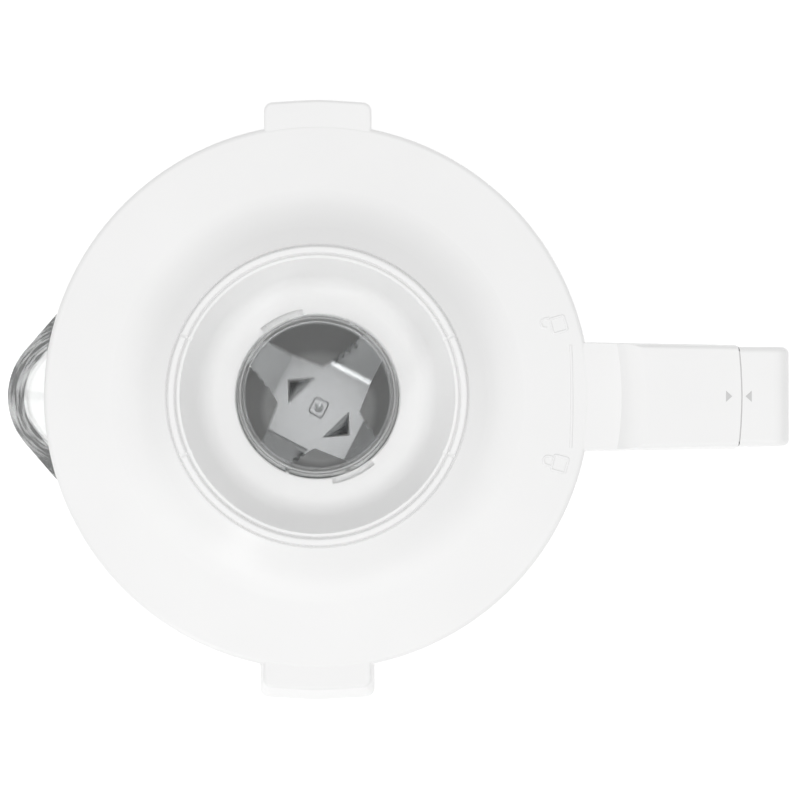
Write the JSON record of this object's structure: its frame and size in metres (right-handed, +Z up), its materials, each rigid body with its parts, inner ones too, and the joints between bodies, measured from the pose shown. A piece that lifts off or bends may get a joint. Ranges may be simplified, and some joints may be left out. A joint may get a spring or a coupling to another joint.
{
  "type": "countertop blender",
  "caption": "Countertop blender: white motor base with a tilted speed knob, spouted glass jug with a D-handle, serrated folded blade, and a round locking lid with a clear filler cap.",
  "frame": {"origin": "On the drive axis, which is the axis of the motor, blade, jug and lid, at the level of the counter that the feet rest on.", "axes": "+Z up along the drive axis. +X toward the handle, -X toward the pouring spout. -Y is the front, where the speed knob is, and +Y the back, where the mains inlet gland is."},
  "size_m": [0.2157, 0.1872, 0.388],
  "materials": {
    "white_plastic": "satin white moulded plastic",
    "grey_plastic": "mid grey moulded plastic",
    "black_plastic": "black moulded plastic",
    "jug_glass": "clear pressed glass",
    "clear_plastic": "clear moulded plastic",
    "blade_steel": "brushed stainless steel",
    "shaft_steel": "ground steel",
    "screw_steel": "zinc plated steel",
    "bezel_metal": "brushed aluminium",
    "bracket_metal": "die cast aluminium",
    "bronze": "sintered bronze",
    "copper": "varnished copper",
    "brush_brass": "pressed brass",
    "laminations": "stacked electrical steel",
    "carbon": "pressed carbon",
    "black_rubber": "matt black rubber",
    "clear_silicone": "translucent silicone"
  },
  "bodies": {
    "base": {"base_housing": "white_plastic", "base_plate": "grey_plastic", "rubber_feet": "black_rubber", "base_screws": "screw_steel", "cord_gland": "black_rubber", "knob_bezel": "bezel_metal", "rotary_switch": "black_plastic", "motor_bracket_upper": "bracket_metal", "motor_bracket_lower": "bracket_metal", "upper_bearing": "bronze", "lower_bearing": "bronze", "mount_bushes": "black_rubber", "mount_screws": "screw_steel", "tie_bolts": "screw_steel", "stator_core": "laminations", "field_coils": "copper", "brush_holders": "brush_brass", "carbon_brushes": "carbon", "drip_seal": "black_rubber"},
    "rotor": {"motor_shaft": "shaft_steel", "armature_core": "laminations", "armature_windings": "copper", "commutator": "copper", "cooling_fan": "black_plastic", "drive_coupling": "black_plastic"},
    "knob": {"speed_knob": "white_plastic", "switch_spindle": "shaft_steel"},
    "jug": {"glass_jug": "jug_glass", "jug_base": "white_plastic", "jug_seal": "clear_silicone", "blade_carrier": "grey_plastic", "spindle_bush": "bronze", "shaft_seal": "clear_silicone", "handle_frame": "white_plastic", "handle_cover": "white_plastic", "handle_screws": "screw_steel", "handle_band": "white_plastic"},
    "blade_unit": {"blade_spindle": "blade_steel", "blade": "blade_steel", "thrust_washer": "blade_steel", "jug_coupling": "black_plastic"},
    "lid_seal": {"lid_seal": "clear_silicone"},
    "lid": {"lid": "white_plastic"},
    "cap": {"filler_cap": "clear_plastic"}
  },
  "joints": [
    {"name": "motor_spin", "type": "hinge", "parent": "base", "child": "rotor", "pos_m": [0, 0, 0.1], "axis": [0, 0, 1], "continuous": true},
    {"name": "knob_turn", "type": "hinge", "parent": "base", "child": "knob", "pos_m": [0, -0.08207, 0.072], "axis": [0, -0.9615, 0.2747], "range_deg": [-135, 45]},
    {"name": "jug_lift", "type": "slide", "parent": "base", "child": "jug", "axis": [0, 0, 1], "range_m": [0, 0.08]},
    {"name": "blade_spin", "type": "hinge", "parent": "jug", "child": "blade_unit", "pos_m": [0, 0, 0.18], "axis": [0, 0, 1], "continuous": true},
    {"name": "lid_lift", "type": "slide", "parent": "jug", "child": "lid_seal", "axis": [0, 0, 1], "range_m": [0, 0.06]},
    {"name": "lid_turn", "type": "hinge", "parent": "lid_seal", "child": "lid", "pos_m": [0, 0, 0.366], "axis": [0, 0, 1], "range_deg": [0, 30]},
    {"name": "cap_lift", "type": "slide", "parent": "lid", "child": "cap", "axis": [0, 0, 1], "range_m": [0, 0.05]}
  ],
  "couplings": [
    {"joint": "blade_spin", "follows": "motor_spin", "ratio": 1}
  ]
}
